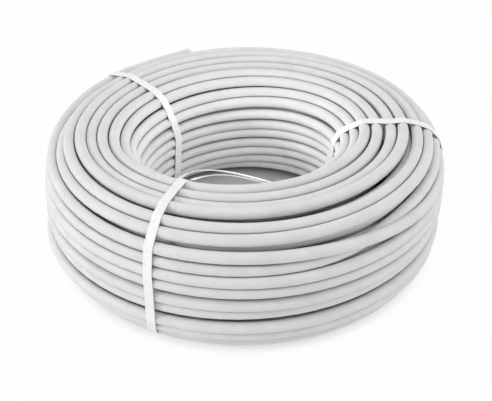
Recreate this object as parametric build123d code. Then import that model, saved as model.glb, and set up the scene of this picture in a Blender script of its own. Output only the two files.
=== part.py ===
from build123d import *
import math
import os

# A ring coil of round grey silicone cable, tied by three flat white straps.
# Millimetres, +Z up along the coil's axis, origin on that axis at the face the coil rests on.

# Cable: silicone over one stranded conductor
cable_d = 8.2
conductor_d = 5.8
conductor_shown = 12.0
conductor_proud = 0.3
conductor_fit = 0.05

# Coil, measured over its ridges, which stand for the turns that show; its inner layers end lower than its
# outer ones
coil_outer_r = 148.0
coil_inner_r = 75.0
coil_h = 97.0
inner_drop = 10.0
shoulder_r = 27.5
foot_r = 22.0
corner_limit_share = 0.45
ridge_pitch = 11.2
groove_depth = 2.4

# Straps, each tied round the turns, and their places on the ring in shares of a full turn
strap_w = 6.0
strap_t = 0.7
strap_seat = 0.2
weld_length = 18.0
weld_height_share = 0.35
strap_place_shares = {"strap_left": 0.382, "strap_front": -0.3195, "strap_right": 0.025}
welded_inside = ("strap_front",)

# Loose outer end of the cable: it leaves the top outer turn and runs straight on to its cut face
end_route = [(-89.9, 115.0, 84.3), (-46.9, 144.1, 84.0)]
end_bed = 0.15

cable_r = cable_d / 2
coil_wall = coil_outer_r - coil_inner_r
base_z = strap_t + strap_seat
top_z = base_z + coil_h
inner_top_z = top_z - inner_drop


def corner_radius(wanted):
    """A corner of the coil's section, no larger than its wall and height leave room for."""
    return min(wanted, corner_limit_share * min(coil_wall, coil_h))


def ridge_line():
    """Line over the turns: up the outer wall from its foot, across the top and down the inner wall."""
    foot_z = base_z + corner_radius(foot_r)
    outer = [(coil_outer_r, foot_z), (coil_outer_r, top_z)]
    inner = [(coil_inner_r, inner_top_z), (coil_inner_r, foot_z)]
    return FilletPolyline(*[Vector(x, 0, z) for x, z in outer + inner], radius=corner_radius(shoulder_r))


def inwards(line, at):
    """Direction from the line over the turns into the coil, at a length along the line."""
    along = line.tangent_at(at, PositionMode.LENGTH)
    return Vector(-along.Z, 0, along.X)


def ridges_and_grooves():
    """Ridges like the turns that show, and the groove after each but the last, in order along the line."""
    line = ridge_line()
    count = round(line.length / ridge_pitch)
    pitch = line.length / count
    ridges = [line.position_at((k + 0.5) * pitch, PositionMode.LENGTH) for k in range(count)]
    grooves = []
    for k in range(1, count):
        at = k * pitch
        grooves.append(line.position_at(at, PositionMode.LENGTH) + inwards(line, at) * groove_depth)
    return ridges, grooves


def foot_points():
    """Bevelled feet of the section, from the middle of the inner one to the middle of the outer one."""
    foot = corner_radius(foot_r)
    bevel = foot * (1 - math.sqrt(0.5))
    inner = [(coil_inner_r + bevel, base_z + bevel), (coil_inner_r + foot, base_z)]
    outer = [(coil_outer_r - foot, base_z), (coil_outer_r - bevel, base_z + bevel)]
    return [Vector(x, 0, z) for x, z in inner + outer]


def whole_coil():
    """All turns as one ring: ridges like the turns that show, on bevelled feet and a flat base."""
    ridges, grooves = ridges_and_grooves()
    outline = [ridges[0]]
    for groove, ridge in zip(grooves, ridges[1:]):
        outline += [groove, ridge]
    print("ridges", len(ridges))
    return revolve(Face(Polyline(*outline, *foot_points(), close=True).wire()), Axis.Z, 360)


def tied_body(stand_off):
    """The coil beside a strap, flat from ridge to ridge and grown outwards."""
    ridges, _ = ridges_and_grooves()
    section = Face(Polyline(*ridges, *foot_points(), close=True).wire())
    face = offset(section, stand_off, kind=Kind.INTERSECTION)
    return extrude(face, strap_w / 2, dir=(0, 1, 0), both=True)


def strap(weld_inside):
    """A flat strap round the turns, its two ends laid over each other and welded."""
    cover = strap_seat + strap_t
    loop = tied_body(cover) - tied_body(strap_seat)
    weld_x = coil_inner_r if weld_inside else coil_outer_r
    weld_z = base_z + weld_height_share * coil_h
    weld_room = Pos(weld_x, 0, weld_z) * Box(coil_wall, 2 * strap_w, weld_length)
    weld = (tied_body(cover + strap_t) - tied_body(cover)) & weld_room
    return loop + weld


def end_bar(radius, start, stop):
    """A round bar on the loose end's line, between two lengths counted from where it leaves the coil."""
    first, last = [Vector(*p) for p in end_route]
    plane = Plane(origin=first, z_dir=last - first)
    bar = Cylinder(radius, stop - start, align=(Align.CENTER, Align.CENTER, Align.MIN))
    return plane * Pos(0, 0, start) * bar


def end_length():
    first, last = [Vector(*p) for p in end_route]
    return (last - first).length


def conductor():
    """The stranded conductor as one round bar, behind the cut face and just proud of it."""
    length = end_length()
    return end_bar(conductor_d / 2, length - conductor_shown, length + conductor_proud)


def cable_end():
    """The loose end's silicone, opened at its cut face for the conductor."""
    length = end_length()
    whole = end_bar(cable_r, 0, length)
    print("loose end is one straight run of", round(length, 1), "mm, with no bend")
    print("its volume over section times length", round(whole.volume / (math.pi * cable_r**2 * length), 4))
    bore_r = conductor_d / 2 + conductor_fit
    return whole - end_bar(bore_r, length - conductor_shown, length + conductor_shown)


def cable_coil():
    """The coil, with the bed that the loose end leaves in its top outer turns."""
    return whole_coil() - end_bar(cable_r + end_bed, -end_bed, end_length())


parts = {"cable_coil": cable_coil(), "cable_end": cable_end(), "conductor": conductor()}
for name, share in strap_place_shares.items():
    parts[name] = Rot(0, 0, 360 * share) * strap(name in welded_inside)

os.makedirs("parts", exist_ok=True)
for node, solid in parts.items():
    export_step(solid, f"parts/{node}.step")
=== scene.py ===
import math

import bpy
import numpy as np
from mathutils import Matrix, Vector


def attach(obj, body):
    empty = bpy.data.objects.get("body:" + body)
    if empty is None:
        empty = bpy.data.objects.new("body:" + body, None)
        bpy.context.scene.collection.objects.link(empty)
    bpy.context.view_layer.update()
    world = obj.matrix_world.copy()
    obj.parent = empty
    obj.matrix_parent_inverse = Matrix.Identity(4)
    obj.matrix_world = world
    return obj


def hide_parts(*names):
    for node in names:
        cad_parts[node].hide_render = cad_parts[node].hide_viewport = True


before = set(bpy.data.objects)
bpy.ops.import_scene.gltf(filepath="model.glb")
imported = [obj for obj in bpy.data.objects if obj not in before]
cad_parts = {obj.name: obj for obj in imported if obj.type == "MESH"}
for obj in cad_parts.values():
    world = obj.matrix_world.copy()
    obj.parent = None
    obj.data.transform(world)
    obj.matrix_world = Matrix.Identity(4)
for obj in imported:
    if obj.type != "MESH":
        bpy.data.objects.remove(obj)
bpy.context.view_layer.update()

# A tied ring coil of pale grey silicone cable. Metres, in the frame's axes; angles in degrees.

# Cable and ring, measured over the turns
cable_d = 0.0082
ring_outer_r = 0.148
ring_inner_r = 0.075
ring_outer_h = 0.097
ring_inner_h = 0.087
shoulder_r = 0.0275
foot_r = 0.022
base_z = 0.0009

# Turns: layers one inside another, wound from the innermost out. Each layer runs from high on the outer wall
# down, in along the base, up the eye and out over the top, and its turns step sideways along the ring's back.
layer_turns = [6, 14, 21, 30]
layer_step_share = 0.9
least_bend = 0.003
arc_steps = 13
wind_start_z = 0.0645
station_deg = 10
start_deg = 270
step_from_deg = 130
step_width_deg = 110

# The turn before the last makes way for it: azimuth where it steps early, and the width of that step
early_step_deg = 345
early_width_deg = 70

# How the section departs from its plain form, by azimuth: lean of the eye's rim into the eye and its rise,
# where loose turns lean in at the front; swell of the outer wall's top and rise of its shoulder; swell of the
# outer wall's foot. Between the two heights below, what holds at the foot gives way to what holds at the top.
section_shifts = [
    (-143, 0.004, 0.002, 0, 0, 0.0025),
    (-132, 0.008, 0.005, 0.0010, 0, 0.0025),
    (-115, 0.010, 0.006, 0.0015, 0, 0.0020),
    (-95, 0.011, 0.006, 0.0010, 0, 0.0010),
    (-60, 0.011, 0.006, 0, 0, -0.0010),
    (-30, 0.011, 0.006, 0, 0, -0.0015),
    (0, 0.007, 0.003, 0.0010, 0.001, 0),
    (20, 0.004, 0.001, 0.0020, 0.001, 0.0020),
    (60, 0, 0, 0.0020, 0.0015, 0.0020),
    (100, 0, 0, 0.0020, 0.0015, 0.0020),
    (125, 0, 0, 0.0005, 0.001, 0.0005),
    (150, 0, 0, -0.0015, 0, 0),
    (180, -0.005, 0, -0.0030, 0, 0.0010),
    (200, -0.003, 0, -0.0025, 0, 0.0020),
]
lean_low_z = 0.025
lean_high_z = 0.075

# Settling of the turns, which wander and have slack away from the straps
settle_rounds = 160
home_pull_share = 0.03
contact_share = 0.985
push_share = 0.9
bend_share = 0.35
loose_wander = 0.0018
tied_wander_share = 0.35
wander_stations = 6
wander_reach = 4
loose_slack = 0.0014
strap_reach_deg = 35
seed = 7

# Last turn, from where it leaves the outer wall to the loose end: azimuth, radius and height of its middle
last_turn = [
    (335, 0.1438, 0.0688),
    (320, 0.1434, 0.0710),
    (305, 0.1425, 0.0742),
    (290, 0.1416, 0.0763),
    (275, 0.1413, 0.0772),
    (234, 0.1413, 0.0772),
    (220, 0.1407, 0.0782),
    (200, 0.1401, 0.0796),
    (180, 0.1398, 0.0808),
    (165, 0.1397, 0.0828),
    (150, 0.1400, 0.0845),
    (140, 0.1405, 0.0853),
]
end_route = [(-0.0899, 0.1150, 0.0843), (-0.0469, 0.1441, 0.0840)]

# The cable's curve: its fineness, and how far it passes inside each point, as a share of how far the next
# points drop from the tangent there
curve_steps = 2
curve_round_steps = 6
curve_inside_share = 0.25

# Straps: azimuth by the angle round the section, which is 0 at the outer wall, 90 on top and 180 at the eye
strap_w = 0.0066
strap_t = 0.0007
strap_edge = 0.0002
strap_stations = 240
strap_azimuths = {
    "strap_left": [(0, 138), (90, 139), (140, 138.5), (170, 134.5), (210, 136.5), (270, 138)],
    "strap_front": [(0, -114.2), (60, -114.7), (90, -116), (125, -118), (180, -117), (270, -117), (300, -116),
                    (330, -114.2)],
    "strap_right": [(0, 3), (60, 0), (95, 0), (120, 4), (150, 13), (180, 24), (210, 28), (270, 15), (315, 5)],
}

# A band drawn tight round the turns: step of the directions it is measured in, and how far aside they look
hull_step_deg = 2
hull_aside_deg = 89

# Welds, where a strap's ends overlap: angle round the section, half the angle that they take, and ribs
weld_places = {"strap_left": -18, "strap_front": 200, "strap_right": -18}
weld_half_deg = 12
weld_stations = 120
weld_ribs = 7
weld_rib_h = 0.00015

# Free ends of the front strap, which run along the eye's rim, and the direction that their faces look
strap_tails = {
    "strap_front": [
        [(-0.0490, -0.0590, 0.0790), (-0.0420, -0.0440, 0.0810), (-0.0290, -0.0420, 0.0840),
         (-0.0130, -0.0520, 0.0865), (0.0050, -0.0630, 0.0872), (0.0215, -0.0705, 0.0865)],
        [(-0.0350, -0.0640, 0.0860), (-0.0250, -0.0560, 0.0850), (-0.0120, -0.0510, 0.0845),
         (0.0030, -0.0620, 0.0850), (0.0190, -0.0695, 0.0855)],
    ],
}
tail_stations = 40
tail_out = (0, 0.5544, 0.8322)

# Conductor: strands in rings round a middle one, each ring turned on from the last, and proud of the cut face
strand_rings = 3
strands_a_ring = 6
strand_ring_turn_rad = 1.0
strand_d = 0.0008
strand_sides = 12
strand_proud = 0.0004
strand_depth = 0.002
strand_bevel_share = 0.25

# Finishes: two near colours, the range of roughness, the scale of the grain and the height of its relief
finishes = {
    "silicone_grey": {"dark": (0.70, 0.70, 0.70), "light": (0.76, 0.76, 0.76), "roughness": (0.55, 0.72),
                      "grain_scale": 900, "grain_h": 0.00002},
    "strap_white": {"dark": (0.88, 0.88, 0.88), "light": (0.93, 0.93, 0.93), "roughness": (0.35, 0.5),
                    "grain_scale": 1500, "grain_h": 0.00003},
    "copper_cut": {"dark": (0.66, 0.35, 0.21), "light": (0.78, 0.45, 0.29), "roughness": (0.25, 0.4),
                   "grain_scale": 2500, "grain_h": 0.00002},
}
grains_a_patch = 12
patch_detail = 5
grain_detail = 3
patch_dark_at = 0.3
patch_light_at = 0.7
silicone_specular = 0.35

# Pits embossed in the straps
emboss_scale = 500
emboss_depth = 0.0005

# Shade painted into the cable's colour in the grooves between the turns: how far the open space is felt, the
# openness range and the darkest painted shade
groove_reach = 0.004
groove_open_low = 0.15
groove_open_high = 0.6
groove_shade = 0.38

# Camera, fitted to the photograph's outline and to the lines between the turns
camera_at = (0.001347, -0.61586, 0.43662)
camera_aim = (0.001347, 0.0, 0.026356)
camera_roll_deg = -0.40
camera_lens = 70.02
camera_sensor = 36.0

# Light: all round, from lamps above and beside the ring, and weakly in its eye
world_level = 0.72
lamp_aim = (0, 0, 0.04)
lamps = {
    "key": {"place": (-0.4, -0.4, 1.4), "energy": 2.8, "size": 1.0},
    "fill_left": {"place": (-1.2, -0.4, 0.55), "energy": 4.5, "size": 0.15},
    "fill_right": {"place": (1.2, 0.1, 0.6), "energy": 3.5, "size": 0.8},
}
eye_lamp_at = (0, 0, 0.085)
eye_lamp_energy = 0.08
eye_lamp_r = 0.03

# Floor: white outside the ring, and painted grey as shade where it is seen in the eye
floor_half = 3.0
floor_eye_r = 0.12
floor_white_r = 0.145
floor_glow_share = 0.94
floor_grey = 0.9
floor_roughness = 0.9
eye_painted_shade = 0.5

cable_r = cable_d / 2
stations_per_turn = 360 // station_deg
top_slope = math.atan2(ring_outer_h - ring_inner_h, ring_outer_r - ring_inner_r)
hull_middle = ((ring_outer_r + ring_inner_r) / 2, base_z + ring_inner_h / 2)


def top_height(r):
    """Height of the ring's top at a radius: its inner turns end lower than its outer ones."""
    return base_z + np.interp(r, [ring_inner_r, ring_outer_r], [ring_inner_h, ring_outer_h])


def corner(inset, outer, upper):
    """Centre and radius of a rounded corner of the ring's section, drawn in by a distance."""
    bend = max((shoulder_r if upper else foot_r) - inset, least_bend)
    r = ring_outer_r - inset - bend if outer else ring_inner_r + inset + bend
    z = float(top_height(r)) - (inset + bend) / math.cos(top_slope) if upper else base_z + inset + bend
    return r, z, bend


def layer_line(inset):
    """The ring's section drawn in by a distance: closed, from the outer wall down and round."""
    top_deg = 90 + math.degrees(top_slope)
    # Each corner: whether it is an outer one and an upper one, and the angles that it runs between
    corners = [
        (True, False, 0, -90),
        (False, False, -90, -180),
        (False, True, 180, top_deg),
        (True, True, top_deg, 0),
    ]
    points = [(ring_outer_r - inset, wind_start_z)]
    for outer, upper, start, stop in corners:
        r, z, bend = corner(inset, outer, upper)
        for angle in np.radians(np.linspace(start, stop, arc_steps)):
            points.append((r + bend * math.cos(angle), z + bend * math.sin(angle)))
    points.append(points[0])
    return np.array(points)


def places():
    """Where the turns lie in the section, in winding order."""
    found = []
    for layer, turns in enumerate(layer_turns):
        depth = len(layer_turns) - 1 - layer
        line = layer_line(cable_r + depth * layer_step_share * cable_d)
        length = np.concatenate([[0], np.cumsum(np.hypot(*np.diff(line, axis=0).T))])
        at = (np.arange(turns) + 0.5) / turns * length[-1]
        found.append(np.stack([np.interp(at, length, line[:, 0]), np.interp(at, length, line[:, 1])], 1))
    return np.concatenate(found)


def kept_inside(at, slack):
    """Moves the turns' middles into the ring's rounded section, grown by a slack."""
    r = np.clip(at[:, 0], ring_inner_r + cable_r - slack, ring_outer_r - cable_r + slack)
    z = np.clip(at[:, 1], base_z + cable_r, top_height(r) - cable_r + slack)
    for outer in (False, True):
        for upper in (False, True):
            corner_r, corner_z, bend = corner(cable_r, outer, upper)
            across = (r - corner_r) * (1 if outer else -1)
            up = (z - corner_z) * (1 if upper else -1)
            away = np.hypot(r - corner_r, z - corner_z)
            out = (across > 0) & (up > 0) & (away > bend + slack)
            share = np.where(out, (bend + slack) / np.maximum(away, cable_r), 1)
            r = np.where(out, corner_r + (r - corner_r) * share, r)
            z = np.where(out, corner_z + (z - corner_z) * share, z)
    return np.stack([r, z], 1)


def eased(x):
    """A smooth step from 0 to 1, as x goes from 0 to 1."""
    x = np.clip(x, 0, 1)
    return x * x * (3 - 2 * x)


def section_shift(azimuth, at):
    """How far places in the section depart from its plain form, outwards and up, by their azimuth."""
    table = np.array(section_shifts)
    lean, eye_rise, swell, wall_rise, foot_swell = (
        np.interp(azimuth, table[:, 0] % 360, column, period=360) for column in table[:, 1:].T)
    outer = (at[:, 0] - ring_inner_r) / (ring_outer_r - ring_inner_r)
    inner = 1 - outer
    upper = eased((at[:, 1] - lean_low_z) / (lean_high_z - lean_low_z))
    out = outer * (foot_swell + upper * (swell - foot_swell)) - inner * upper * lean
    rise = upper * (outer * wall_rise + inner * eye_rise)
    return np.stack([out, rise], 1)


def strap_nearness(azimuth):
    """1 beside a strap, 0 well away from all of them."""
    near = np.zeros_like(azimuth)
    for table in strap_azimuths.values():
        gap = np.abs((azimuth - table[0][1] + 180) % 360 - 180)
        near = np.maximum(near, 1 - eased(gap / strap_reach_deg))
    return near


def smooth_noise(rng, count):
    """Slow wander along the cable, of about unit size."""
    reach = wander_reach * wander_stations
    kernel = np.exp(-0.5 * (np.arange(-reach, reach + 1) / wander_stations) ** 2)
    kernel /= math.sqrt(np.sum(kernel**2))
    raw = rng.normal(size=(2, count + 2 * reach))
    return np.stack([np.convolve(line, kernel, mode="valid") for line in raw], 1)


def wound_stations():
    """Unsettled places of the cable's stations: each turn keeps its place and then steps over to the next."""
    spots = places()
    last = len(spots) - 1
    last_deg = 360 * last + (start_deg - last_turn[-1][0]) % 360
    along = np.arange(0, last_deg + station_deg / 2, station_deg)
    at = np.zeros(len(along))
    for n in range(last):
        start, width = 360 * n + (start_deg - step_from_deg) % 360, step_width_deg
        if n == last - 1:
            start, width = 360 * n + start_deg - early_step_deg, early_width_deg
        at += eased((along - start) / width)
    index = np.arange(len(spots))
    home = np.stack([np.interp(at, index, spots[:, 0]), np.interp(at, index, spots[:, 1])], 1)
    return along, home


def guided_stations(along, home):
    """Sets the last turn on its own route and says which stations it holds."""
    to_end = along[-1] - along
    table = [((az - last_turn[-1][0]) % 360, r, z) for az, r, z in reversed(last_turn)]
    marks = [row[0] for row in table]
    held = to_end <= marks[-1]
    home = home.copy()
    home[held, 0] = np.interp(to_end[held], marks, [row[1] for row in table])
    home[held, 1] = np.interp(to_end[held], marks, [row[2] for row in table])
    return home, held


def by_turns(values, spare_value):
    """Values at the stations as rows of one turn each, the last row filled up with a spare value."""
    turns = math.ceil(len(values) / stations_per_turn)
    spare = turns * stations_per_turn - len(values)
    filled = np.concatenate([values, np.full((spare, *values.shape[1:]), spare_value)])
    return filled.reshape(turns, stations_per_turn, *values.shape[1:])


def levers(free):
    """Share of a push that a station takes of each pair: half if both are free, and none if it is held."""
    rows = by_turns(free, 0.0)[:, None]
    both = rows + rows.transpose(1, 0, 2)
    return rows / np.maximum(both, 1)


def pushes(at, lever):
    """How far each station is moved off the turns that it overlaps at its azimuth."""
    rows = by_turns(at, np.nan)
    gap = rows[:, None] - rows[None, :]
    away = np.hypot(gap[..., 0], gap[..., 1])
    apart = cable_d * contact_share
    deep = np.where((away < apart) & (away > 0), apart - away, 0)
    push = deep * lever * push_share / np.where(away > 0, away, 1)
    moved = np.sum(np.where(np.isfinite(gap), gap, 0) * push[..., None], axis=1)
    return moved.reshape(-1, 2)[: len(at)]


def settled_stations():
    """Middles of the cable at its stations, as radius and height, with the turns pushed off each other."""
    along, home = wound_stations()
    azimuth = start_deg - along
    home, held = guided_stations(along, home + section_shift(azimuth, home))
    near = strap_nearness(azimuth)
    rng = np.random.default_rng(seed)
    wander = loose_wander * (1 - (1 - tied_wander_share) * near)
    home = np.where(held[:, None], home, home + smooth_noise(rng, len(home)) * wander[:, None])
    slack = loose_slack * (1 - near)
    free = np.where(held, 0.0, 1.0)
    lever = levers(free)
    at = home.copy()
    for _ in range(settle_rounds):
        at = at + pushes(at, lever)
        middle = at.copy()
        middle[1:-1] = (at[:-2] + at[2:]) / 2
        at = at + (middle - at) * bend_share * free[:, None]
        at = at + (home - at) * home_pull_share * free[:, None]
        bent = section_shift(azimuth, at)
        at = np.where(held[:, None], home, kept_inside(at - bent, slack) + bent)
    return along, at


def added(name, data):
    """A new object in the scene."""
    obj = bpy.data.objects.new(name, data)
    bpy.context.collection.objects.link(obj)
    return obj


def mesh_piece(name, vertices, faces, material):
    """A new mesh object with one material."""
    mesh = bpy.data.meshes.new(name)
    mesh.from_pydata(vertices, [], faces)
    mesh.materials.append(material)
    return added(name, mesh)


def cable(along, at, material):
    """The whole cable as one curve, from its inner end to its cut outer end."""
    outward = 1 / (1 - curve_inside_share * (1 - math.cos(math.radians(station_deg))))
    angle = np.radians(start_deg - along)
    x = at[:, 0] * np.cos(angle) * outward
    y = at[:, 0] * np.sin(angle) * outward
    points = list(zip(x, y, at[:, 1])) + end_route
    curve = bpy.data.curves.new("cable", "CURVE")
    curve.dimensions = "3D"
    spline = curve.splines.new("NURBS")
    spline.points.add(len(points) - 1)
    for point, place in zip(spline.points, points):
        point.co = (*place, 1)
    spline.order_u = 3
    spline.use_endpoint_u = True
    spline.use_smooth = True
    curve.resolution_u = curve_steps
    curve.bevel_depth = cable_r
    curve.bevel_resolution = curve_round_steps
    curve.use_fill_caps = True
    curve.materials.append(material)
    obj = added("cable", curve)
    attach(obj, "root")
    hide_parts("cable_coil", "cable_end")


def turns_at(along, at, azimuth):
    """Middles of all the turns in the half plane at an azimuth, the start of the loose end among them."""
    end_x, end_y, end_z = end_route[0]
    end_azimuth = math.degrees(math.atan2(end_y, end_x))
    along = np.append(along, along[-1] + (last_turn[-1][0] - end_azimuth) % 360)
    at = np.append(at, [(math.hypot(end_x, end_y), end_z)], 0)
    marks = np.arange((start_deg - azimuth) % 360, along[-1], 360)
    return np.stack([np.interp(marks, along, at[:, 0]), np.interp(marks, along, at[:, 1])], 1)


def hull_point(along, at, azimuth, angle):
    """Where a tight band round the turns at an azimuth lies, at an angle round the section."""
    normals = np.radians(np.arange(0, 360, hull_step_deg))
    normals = np.stack([np.cos(normals), np.sin(normals)], 1)
    middles = turns_at(along, at, azimuth) - hull_middle
    support = (middles @ normals.T).max(axis=0) + cable_r
    towards = normals @ (math.cos(angle), math.sin(angle))
    facing = towards > math.cos(math.radians(hull_aside_deg))
    reach = (support[facing] / towards[facing]).min()
    return hull_middle[0] + reach * math.cos(angle), hull_middle[1] + reach * math.sin(angle)


def strap_line(along, at, table, degrees):
    """A strap's inner face: its points, and the directions away from the turns there."""
    marks, values = zip(*table, (360 + table[0][0], table[0][1]))
    azimuths = np.interp(degrees % 360, marks, values)
    section = np.array([hull_point(along, at, az, math.radians(a)) for a, az in zip(degrees, azimuths)])
    turn = np.radians(azimuths)
    points = np.stack([section[:, 0] * np.cos(turn), section[:, 0] * np.sin(turn), section[:, 1]], 1)
    run = np.gradient(section, axis=0)
    run /= np.linalg.norm(run, axis=1, keepdims=True)
    out = np.stack([run[:, 1] * np.cos(turn), run[:, 1] * np.sin(turn), -run[:, 0]], 1)
    return points, out


def band(points, out, lift, closed):
    """Vertices and faces of a flat strip with bevelled edges along a line, lifted off it by a height."""
    along_line = np.gradient(points, axis=0)
    along_line /= np.linalg.norm(along_line, axis=1, keepdims=True)
    across = np.cross(along_line, out)
    across /= np.linalg.norm(across, axis=1, keepdims=True)
    half = strap_w / 2
    profile = [(-half, strap_edge), (-half, strap_t - strap_edge), (strap_edge - half, strap_t),
               (half - strap_edge, strap_t), (half, strap_t - strap_edge), (half, strap_edge),
               (half - strap_edge, 0), (strap_edge - half, 0)]
    rings = [points + across * side + out * (up + lift)[:, None] for side, up in profile]
    vertices = np.stack(rings, 1).reshape(-1, 3)
    count, sides = len(points), len(profile)
    faces = []
    for k in range(count if closed else count - 1):
        for s in range(sides):
            n, t = (k + 1) % count, (s + 1) % sides
            faces.append((k * sides + s, k * sides + t, n * sides + t, n * sides + s))
    if not closed:
        faces.append(tuple(range(sides)))
        faces.append(tuple(range(len(vertices) - 1, len(vertices) - 1 - sides, -1)))
    return vertices, faces


def tail(route):
    """A strap's free end, on one smooth curve that the points of its route draw towards them."""
    t = np.linspace(0, 1, tail_stations)[:, None]
    last = len(route) - 1
    weights = [math.comb(last, k) * (1 - t) ** (last - k) * t**k for k in range(last + 1)]
    points = sum(weight * np.array(place) for weight, place in zip(weights, route))
    out = np.tile(tail_out, (tail_stations, 1))
    return band(points, out, np.zeros(tail_stations), False)


def joined(strips):
    """Vertices and faces of several strips as one mesh."""
    vertices, faces = [], []
    for more, more_faces in strips:
        first = len(vertices)
        vertices += more.tolist()
        faces += [tuple(first + v for v in face) for face in more_faces]
    return vertices, faces


def strap(name, along, at, material):
    """A strap drawn tight round the turns, with its ends laid over each other and welded in ribs."""
    table = strap_azimuths[name]
    degrees = np.linspace(0, 360, strap_stations, endpoint=False)
    points, out = strap_line(along, at, table, degrees)
    loop = band(points, out, np.zeros(len(points)), True)
    overlap = weld_places[name] + np.linspace(-weld_half_deg, weld_half_deg, weld_stations)
    points, out = strap_line(along, at, table, overlap)
    wave = np.cos(np.linspace(0, 2 * math.pi * weld_ribs, len(points)))
    weld = band(points, out, strap_t + weld_rib_h * (wave - 1) / 2, False)
    tails = [tail(route) for route in strap_tails.get(name, [])]
    vertices, faces = joined([loop, weld, *tails])
    obj = mesh_piece(name + "_band", vertices, faces, material)
    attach(obj, "root")
    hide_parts(name)


def strand_places():
    """Middles of the conductor's strands across the cut face: one, and rings of six, twelve and eighteen."""
    found = [(0.0, 0.0)]
    for ring in range(1, strand_rings + 1):
        count = strands_a_ring * ring
        for k in range(count):
            angle = 2 * math.pi * k / count + strand_ring_turn_rad * ring
            found.append((ring * strand_d * math.cos(angle), ring * strand_d * math.sin(angle)))
    return found


def strands(material):
    """The conductor's cut strands, just proud of the cable's end."""
    start, tip = (Vector(p) for p in end_route)
    turn = (tip - start).normalized().to_track_quat("Z", "Y").to_matrix()
    strand_r = strand_d / 2
    bevel = strand_r * strand_bevel_share
    profile = [(strand_r, -strand_depth), (strand_r, strand_proud - bevel), (strand_r - bevel, strand_proud)]
    vertices, faces = [], []
    for x, y in strand_places():
        first = len(vertices)
        for radius, z in profile:
            for k in range(strand_sides):
                angle = 2 * math.pi * k / strand_sides
                spot = Vector((x + radius * math.cos(angle), y + radius * math.sin(angle), z))
                vertices.append(tip + turn @ spot)
        for level in range(len(profile) - 1):
            low = first + level * strand_sides
            for k in range(strand_sides):
                n = (k + 1) % strand_sides
                faces.append((low + k, low + n, low + strand_sides + n, low + strand_sides + k))
        faces.append(tuple(first + (len(profile) - 1) * strand_sides + k for k in range(strand_sides)))
        faces.append(tuple(first + k for k in reversed(range(strand_sides))))
    obj = mesh_piece("conductor_strands", vertices, faces, material)
    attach(obj, "root")
    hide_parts("conductor")


def maths(nodes, links, operation, first, second):
    """Output of a calculation with two values in a material."""
    node = nodes.new("ShaderNodeMath")
    node.operation = operation
    links.new(first, node.inputs[0])
    links.new(second, node.inputs[1])
    return node.outputs[0]


def ranged(nodes, links, value, from_low, from_high, to_low, to_high):
    """Output of a value carried from one range to another in a material."""
    node = nodes.new("ShaderNodeMapRange")
    node.inputs["From Min"].default_value = from_low
    node.inputs["From Max"].default_value = from_high
    node.inputs["To Min"].default_value = to_low
    node.inputs["To Max"].default_value = to_high
    links.new(value, node.inputs["Value"])
    return node.outputs["Result"]


def texture(nodes, links, kind, scale):
    """A texture in the object's own space, at a scale."""
    node = nodes.new(kind)
    node.inputs["Scale"].default_value = scale
    links.new(nodes.new("ShaderNodeTexCoord").outputs["Object"], node.inputs["Vector"])
    return node


def relief(nodes, links, shader, height, distance):
    """Gives a shader a relief of a height, over the one that it has."""
    under = [link.from_socket for link in shader.inputs["Normal"].links]
    bump = nodes.new("ShaderNodeBump")
    bump.inputs["Distance"].default_value = distance
    links.new(height, bump.inputs["Height"])
    for normal in under:
        links.new(normal, bump.inputs["Normal"])
    links.new(bump.outputs["Normal"], shader.inputs["Normal"])


def seen_rays(nodes, links):
    """1 for rays that show a surface to the viewer, straight on or in a mirror or glass, and 0 for others."""
    rays = nodes.new("ShaderNodeLightPath").outputs
    seen = maths(nodes, links, "MAXIMUM", rays["Is Camera Ray"], rays["Is Glossy Ray"])
    return maths(nodes, links, "MAXIMUM", seen, rays["Is Transmission Ray"])


def mottled_material(name, dark, light, roughness, grain_scale, grain_h):
    """A material whose colour varies in patches, and its roughness and surface in a fine grain."""
    material = bpy.data.materials.new(name)
    material.use_nodes = True
    nodes, links = material.node_tree.nodes, material.node_tree.links
    shader = nodes["Principled BSDF"]
    patches = texture(nodes, links, "ShaderNodeTexNoise", grain_scale / grains_a_patch)
    patches.inputs["Detail"].default_value = patch_detail
    grain = texture(nodes, links, "ShaderNodeTexNoise", grain_scale)
    grain.inputs["Detail"].default_value = grain_detail
    colour = nodes.new("ShaderNodeValToRGB")
    low, high = colour.color_ramp.elements
    low.position, high.position = patch_dark_at, patch_light_at
    low.color, high.color = (*dark, 1), (*light, 1)
    links.new(patches.outputs["Fac"], colour.inputs["Fac"])
    links.new(colour.outputs["Color"], shader.inputs["Base Color"])
    links.new(ranged(nodes, links, grain.outputs["Fac"], 0, 1, *roughness), shader.inputs["Roughness"])
    relief(nodes, links, shader, grain.outputs["Fac"], grain_h)
    return material, shader


def silicone_material():
    """Matt pale grey silicone, with shade painted into its colour in the grooves between turns."""
    material, shader = mottled_material("silicone_grey", **finishes["silicone_grey"])
    shader.inputs["Specular IOR Level"].default_value = silicone_specular
    nodes, links = material.node_tree.nodes, material.node_tree.links
    # Painted shade: the base colour is darkened where ambient occlusion finds the grooves between turns
    # closed in
    groove = nodes.new("ShaderNodeAmbientOcclusion")
    groove.inputs["Distance"].default_value = groove_reach
    shade = ranged(nodes, links, groove.outputs["AO"], groove_open_low, groove_open_high, groove_shade, 1)
    painted_shade = nodes.new("ShaderNodeVectorMath")
    painted_shade.operation = "SCALE"
    links.new(shader.inputs["Base Color"].links[0].from_socket, painted_shade.inputs["Vector"])
    links.new(shade, painted_shade.inputs["Scale"])
    links.new(painted_shade.outputs["Vector"], shader.inputs["Base Color"])
    return material


def strap_material():
    """Satin white plastic, embossed with fine pits."""
    material, shader = mottled_material("strap_white", **finishes["strap_white"])
    nodes, links = material.node_tree.nodes, material.node_tree.links
    pits = texture(nodes, links, "ShaderNodeTexVoronoi", emboss_scale)
    relief(nodes, links, shader, pits.outputs["Distance"], emboss_depth)
    return material


def copper_material():
    """Freshly cut copper."""
    material, shader = mottled_material("copper_cut", **finishes["copper_cut"])
    shader.inputs["Metallic"].default_value = 1
    return material


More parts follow.
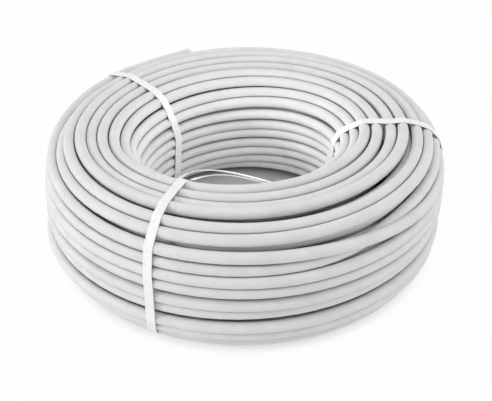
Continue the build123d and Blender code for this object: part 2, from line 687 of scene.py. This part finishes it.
def camera():
    """The scene's camera."""
    data = bpy.data.cameras.new("camera")
    data.lens = camera_lens
    data.sensor_width = camera_sensor
    obj = added("camera", data)
    forward = (Vector(camera_aim) - Vector(camera_at)).normalized()
    turn = Matrix.Rotation(math.radians(-camera_roll_deg), 3, forward)
    obj.rotation_euler = (turn @ forward.to_track_quat("-Z", "Y").to_matrix()).to_euler()
    obj.location = camera_at
    bpy.context.scene.camera = obj


def floor_material():
    """White floor: outside the ring it is seen white with a faint shadow, and in the eye it is painted grey
    as shade.
    """
    material = bpy.data.materials.new("floor_white")
    material.use_nodes = True
    nodes, links = material.node_tree.nodes, material.node_tree.links
    shader = nodes["Principled BSDF"]
    shader.inputs["Roughness"].default_value = floor_roughness
    glow = nodes.new("ShaderNodeEmission")
    mix = nodes.new("ShaderNodeMixShader")
    place = nodes.new("ShaderNodeTexCoord")
    away = nodes.new("ShaderNodeVectorMath")
    away.operation = "LENGTH"
    links.new(place.outputs["Object"], away.inputs[0])
    outside = ranged(nodes, links, away.outputs["Value"], floor_eye_r, floor_white_r, 0, 1)
    white_share = ranged(nodes, links, outside, 0, 1, 0, floor_glow_share)
    glow_share = maths(nodes, links, "MULTIPLY", seen_rays(nodes, links), white_share)
    # Painted shade: the floor's colour is grey inside the ring's eye and white outside it
    links.new(ranged(nodes, links, outside, 0, 1, eye_painted_shade, floor_grey), shader.inputs["Base Color"])
    links.new(glow_share, mix.inputs["Fac"])
    links.new(shader.outputs["BSDF"], mix.inputs[1])
    links.new(glow.outputs["Emission"], mix.inputs[2])
    links.new(mix.outputs["Shader"], nodes["Material Output"].inputs["Surface"])
    return material


def floor():
    """The plain floor that the ring lies on."""
    half = floor_half
    corners = [(-half, -half, 0), (half, -half, 0), (half, half, 0), (-half, half, 0)]
    mesh_piece("floor", corners, [(0, 1, 2, 3)], floor_material())


def lights():
    """Even light from all round, a soft key above left, a fill on each side and a weak lamp in the eye."""
    world = bpy.data.worlds.new("world")
    world.use_nodes = True
    nodes, links = world.node_tree.nodes, world.node_tree.links
    background = nodes["Background"]
    background.inputs["Color"].default_value = (1, 1, 1, 1)
    level = ranged(nodes, links, seen_rays(nodes, links), 0, 1, world_level, 1)
    links.new(level, background.inputs["Strength"])
    bpy.context.scene.world = world
    for name, lamp in lamps.items():
        data = bpy.data.lights.new(name, "AREA")
        data.energy = lamp["energy"]
        data.size = lamp["size"]
        obj = added(name, data)
        obj.location = lamp["place"]
        obj.rotation_euler = (Vector(lamp_aim) - obj.location).to_track_quat("-Z", "Y").to_euler()
    data = bpy.data.lights.new("eye_lamp", "POINT")
    data.energy = eye_lamp_energy
    data.shadow_soft_size = eye_lamp_r
    obj = added("eye_lamp", data)
    obj.location = eye_lamp_at
    obj.visible_camera = False


bpy.context.scene.view_settings.view_transform = "Standard"
station_along, station_at = settled_stations()
cable(station_along, station_at, silicone_material())
white = strap_material()
for strap_name in strap_azimuths:
    strap(strap_name, station_along, station_at, white)
strands(copper_material())
camera()
floor()
lights()
